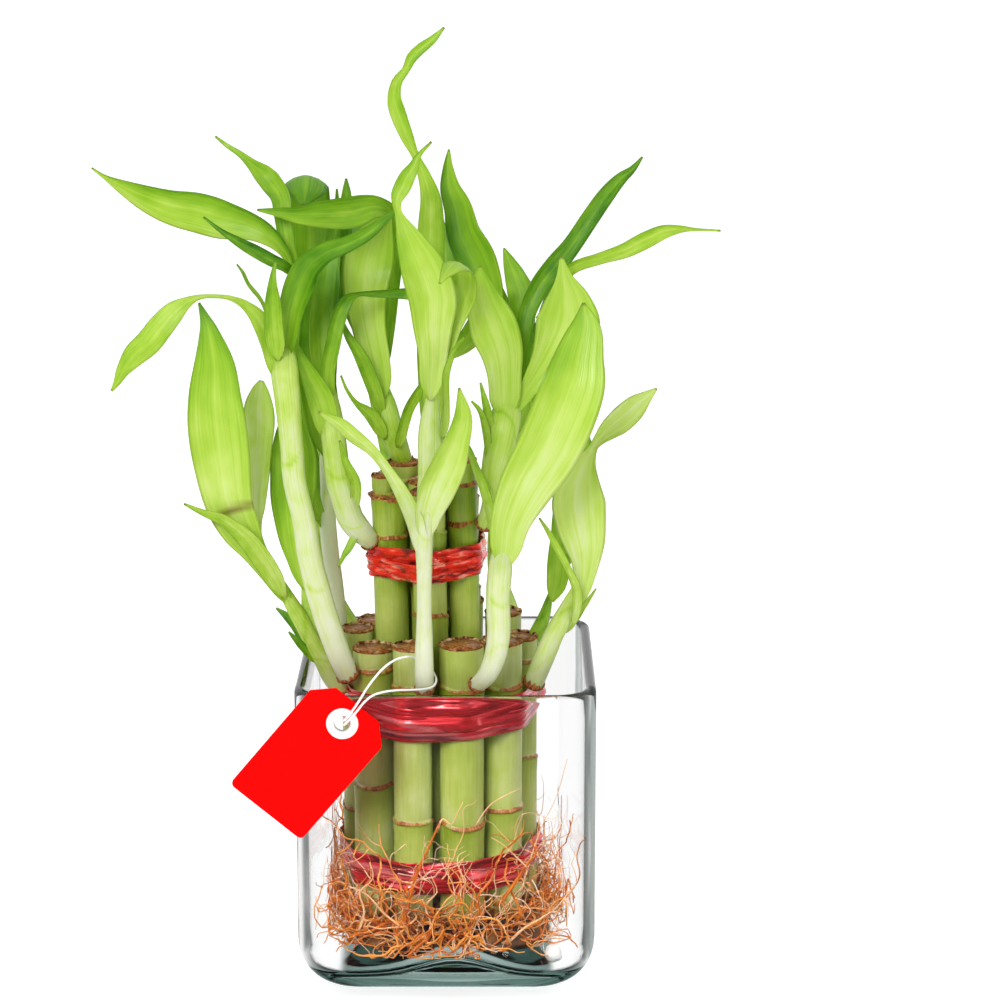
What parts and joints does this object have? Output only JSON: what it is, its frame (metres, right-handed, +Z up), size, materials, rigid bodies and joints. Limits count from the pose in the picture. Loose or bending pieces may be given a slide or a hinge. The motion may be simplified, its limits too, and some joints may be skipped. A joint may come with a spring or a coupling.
{
  "type": "lucky bamboo in glass vase",
  "caption": "Two-tier bundle of lucky bamboo canes with leafy shoots, tied with red foil bands, rooted in water in a square glass vase, with a plain red swing tag.",
  "frame": {"origin": "middle of the flat underside of the glass vase", "axes": "+Z up, -Y towards the side seen in the picture, +X to that side's right"},
  "size_m": [0.2156, 0.1389, 0.3283],
  "materials": {
    "vase_glass": "clear polished",
    "water": "clear liquid",
    "pebble_white": "polished",
    "clear_bead": "clear polished",
    "cane_green": "satin living cane",
    "leaf_pale": "soft leaf gloss",
    "leaf_green": "soft leaf gloss",
    "leaf_dark": "leaf gloss",
    "root_orange": "wet fibrous",
    "foil_red": "crumpled red foil",
    "tag_paper": "smooth red card",
    "eyelet_white": "satin white",
    "string_white": "twisted cotton"
  },
  "bodies": {
    "root": {"glass_vase": "vase_glass", "water": "water", "white_pebble": "pebble_white", "clear_bead_left": "clear_bead", "clear_bead_right": "clear_bead", "outer_cane_01": "cane_green", "outer_cane_02": "cane_green", "outer_cane_03": "cane_green", "outer_cane_04": "cane_green", "outer_cane_05": "cane_green", "outer_cane_06": "cane_green", "outer_cane_07": "cane_green", "outer_cane_08": "cane_green", "outer_cane_09": "cane_green", "outer_cane_10": "cane_green", "inner_cane_01": "cane_green", "inner_cane_02": "cane_green", "inner_cane_03": "cane_green", "inner_cane_04": "cane_green", "inner_cane_05": "cane_green", "inner_cane_06": "cane_green", "inner_cane_07": "cane_green", "tie_lower": "foil_red", "tie_middle": "foil_red", "tie_upper": "foil_red", "shoot_front_centre": "leaf_pale", "shoot_right": "leaf_pale", "shoot_left_pale": "leaf_pale", "shoot_front_right": "leaf_green", "shoot_left_low": "leaf_green", "shoot_inner_left": "leaf_green", "shoot_upper_left": "leaf_green", "shoot_inner_right": "leaf_green", "shoot_back_right": "leaf_green", "shoot_back_centre": "leaf_green", "shoot_right_rear": "leaf_dark", "shoot_left_rear": "leaf_dark", "shoot_centre": "leaf_dark", "shoot_back_left": "leaf_dark", "shoot_upper_back": "leaf_dark", "root_mass": "root_orange", "tag_card": "tag_paper", "tag_eyelet": "eyelet_white", "tag_string": "string_white"}
  },
  "joints": []
}
